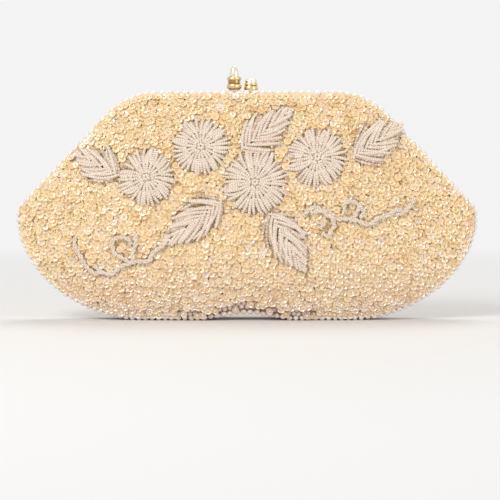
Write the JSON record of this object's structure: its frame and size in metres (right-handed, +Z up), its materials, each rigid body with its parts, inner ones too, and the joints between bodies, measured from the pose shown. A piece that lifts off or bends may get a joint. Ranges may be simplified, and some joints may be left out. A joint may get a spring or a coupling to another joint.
{
  "type": "beaded clutch",
  "caption": "Evening clutch of sequinned cloth over a hinged two-half metal frame with a kiss lock, bead-strand flowers and leaves on its front, satin lining and slip pocket.",
  "frame": {"origin": "on the surface it stands on, under the middle of the bag's overall box", "axes": "+X along the bag's length, towards the viewer's right of its front; the front faces -Y; +Z up"},
  "size_m": [0.2392, 0.0342, 0.1319],
  "materials": {
    "sequin_cloth": "sequins and seed beads on cloth, iridescent champagne",
    "interlining": "stiff woven padding",
    "lining_satin": "satin",
    "frame_brass": "brushed",
    "clasp_gilt": "polished gilt",
    "edging_beads": "glossy pearl",
    "strand_beads": "glossy ivory pink"
  },
  "bodies": {
    "pouch": {"beaded_pouch": "sequin_cloth", "pouch_interlining": "interlining", "pouch_lining": "lining_satin", "slip_pocket": "lining_satin", "left_hinge_rivet": "frame_brass", "right_hinge_rivet": "frame_brass", "leaf_lower_left": "strand_beads", "leaf_lower_right": "strand_beads", "vine_left": "strand_beads", "vine_right": "strand_beads"},
    "front_frame": {"front_frame_channel": "frame_brass", "front_clasp_arm": "clasp_gilt", "short_knob": "clasp_gilt", "front_upper_panel": "sequin_cloth", "front_upper_interlining": "interlining", "front_upper_lining": "lining_satin", "front_edging_beads": "edging_beads", "flower_left": "strand_beads", "flower_top": "strand_beads", "flower_centre": "strand_beads", "flower_right": "strand_beads", "leaf_far_left": "strand_beads", "leaf_top": "strand_beads", "leaf_right": "strand_beads"},
    "back_frame": {"back_frame_channel": "frame_brass", "back_clasp_arm": "clasp_gilt", "tall_knob": "clasp_gilt", "back_upper_panel": "sequin_cloth", "back_upper_interlining": "interlining", "back_upper_lining": "lining_satin", "back_edging_beads": "edging_beads"}
  },
  "joints": [
    {"name": "front_hinge", "type": "hinge", "parent": "pouch", "child": "front_frame", "pos_m": [0, 0.00115, 0.056], "axis": [1, 0, 0], "range_deg": [0, 30], "deforming": ["flower_left", "flower_centre"]},
    {"name": "back_hinge", "type": "hinge", "parent": "pouch", "child": "back_frame", "pos_m": [0, 0.00115, 0.056], "axis": [1, 0, 0], "range_deg": [-30, 0]}
  ],
  "couplings": [
    {"joint": "back_hinge", "follows": "front_hinge", "ratio": -1}
  ]
}
